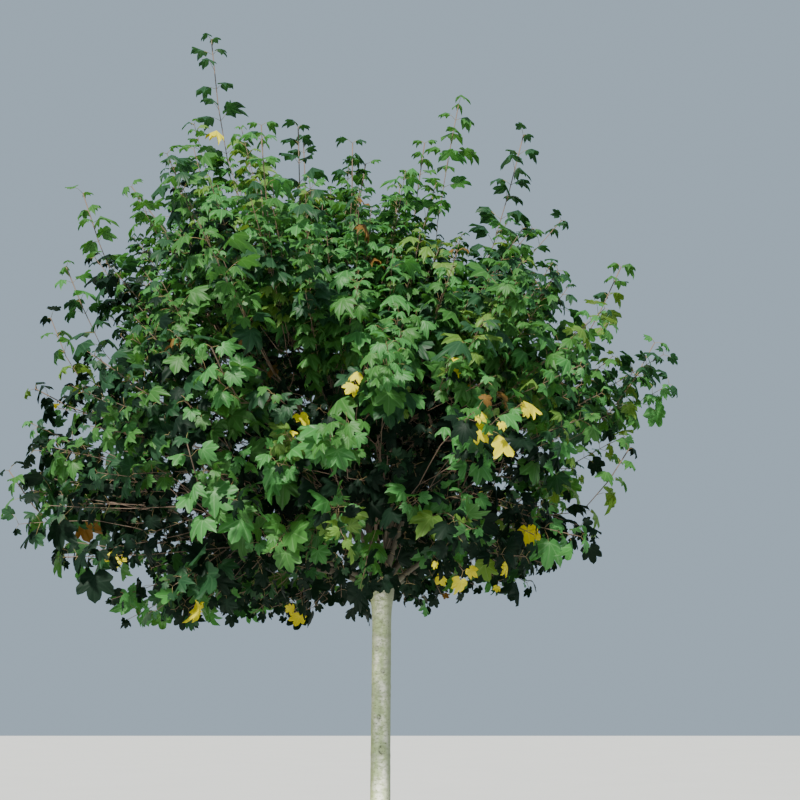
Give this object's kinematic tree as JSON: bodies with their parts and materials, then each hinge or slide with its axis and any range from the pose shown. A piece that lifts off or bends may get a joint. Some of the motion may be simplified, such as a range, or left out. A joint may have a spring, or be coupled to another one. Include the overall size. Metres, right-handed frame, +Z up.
{
  "type": "globe maple tree",
  "caption": "Young standard maple tree: a clear straight trunk under a broad, dense, flat-bottomed round crown of five-lobed leaves, fixed in level ground.",
  "frame": {"origin": "centre of the flat cut under the trunk, at ground level", "axes": "+Z up the trunk, the picture's viewer stands on the -Y side, +X to the viewer's right"},
  "size_m": [3.417, 3.2777, 5.0671],
  "materials": {
    "bark": "pale grey-olive bark with fine upright streaks and small dark lenticels",
    "young_bark": "smooth brown-grey bark of boughs and twigs",
    "leaf": "mid green leaf, half matt, paler veins",
    "autumn_leaf": "the few leaves that have turned yellow or russet"
  },
  "bodies": {
    "root": {"trunk": "bark", "bough_skirt_1": "young_bark", "bough_skirt_2": "young_bark", "bough_skirt_3": "young_bark", "bough_skirt_4": "young_bark", "bough_skirt_5": "young_bark", "bough_skirt_6": "young_bark", "bough_skirt_7": "young_bark", "bough_shoulder_1": "young_bark", "bough_shoulder_2": "young_bark", "bough_shoulder_3": "young_bark", "bough_shoulder_4": "young_bark", "bough_shoulder_5": "young_bark", "bough_shoulder_6": "young_bark", "bough_top_1": "young_bark", "bough_top_2": "young_bark", "bough_top_3": "young_bark", "bough_top_4": "young_bark", "foliage_skirt_1": "leaf", "foliage_skirt_2": "leaf", "foliage_skirt_3": "leaf", "foliage_skirt_4": "leaf", "foliage_skirt_5": "leaf", "foliage_skirt_6": "leaf", "foliage_skirt_7": "leaf", "foliage_shoulder_1": "leaf", "foliage_shoulder_2": "leaf", "foliage_shoulder_3": "leaf", "foliage_shoulder_4": "leaf", "foliage_shoulder_5": "leaf", "foliage_shoulder_6": "leaf", "foliage_top_1": "leaf", "foliage_top_2": "leaf", "foliage_top_3": "leaf", "foliage_top_4": "leaf"}
  },
  "joints": []
}
